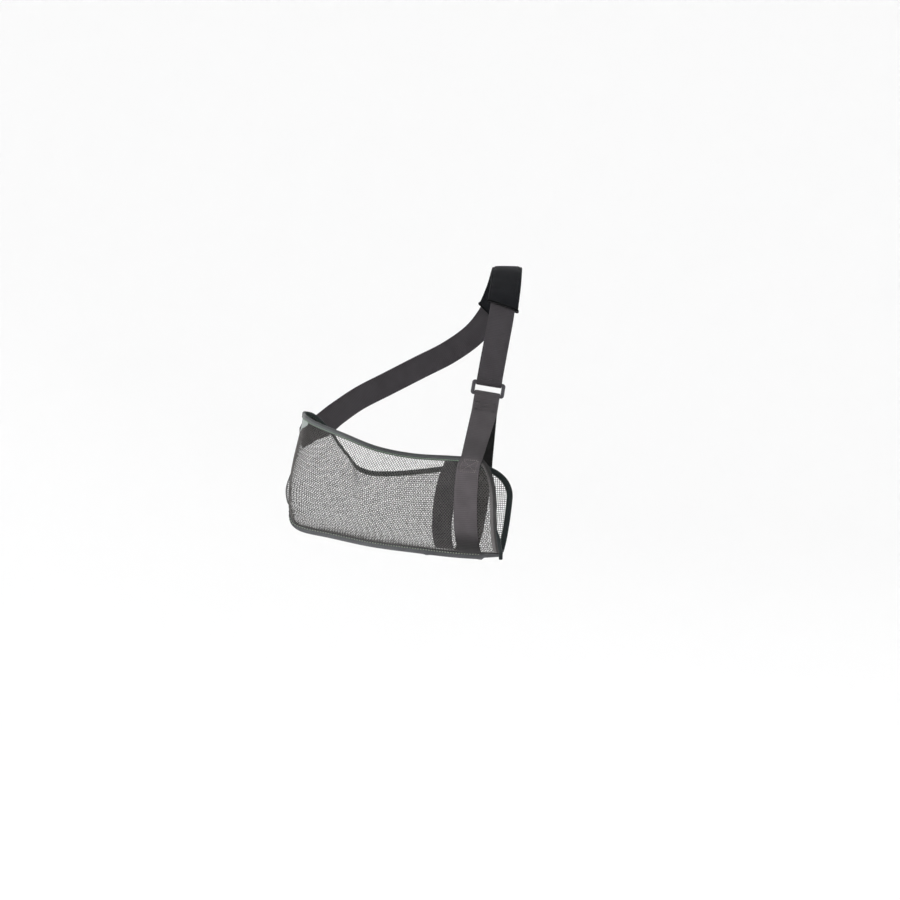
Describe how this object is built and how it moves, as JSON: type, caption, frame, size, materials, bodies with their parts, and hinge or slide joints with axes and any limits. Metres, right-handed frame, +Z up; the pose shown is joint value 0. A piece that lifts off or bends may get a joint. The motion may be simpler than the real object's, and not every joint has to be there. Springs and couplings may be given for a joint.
{
  "type": "arm sling",
  "caption": "Worn arm sling: open mesh pouch with bound edges, split webbing to a ring buckle, and a padded strap over the shoulder.",
  "frame": {"origin": "the shoulder seat: the point on the underside of the pad that rests on top of the wearer's shoulder", "axes": "+Z up, the wearer faces -Y, and +X is towards the wearer's left, so the pouch's elbow end is at -X and its hand end near x = 0"},
  "size_m": [0.3703, 0.3508, 0.4498],
  "materials": {
    "mesh": "matte",
    "tape": "matte",
    "light_tape": "matte",
    "webbing": "matte",
    "pad": "matte",
    "ring": "satin"
  },
  "bodies": {
    "root": {"front_panel": "mesh", "back_panel": "mesh", "front_top_binding": "tape", "front_hand_binding": "light_tape", "back_binding": "tape", "bottom_binding": "light_tape", "elbow_seam": "tape", "inner_strap": "webbing", "split_webbing": "webbing", "shoulder_strap": "webbing", "shoulder_pad": "pad", "ring_buckle": "ring"}
  },
  "joints": []
}
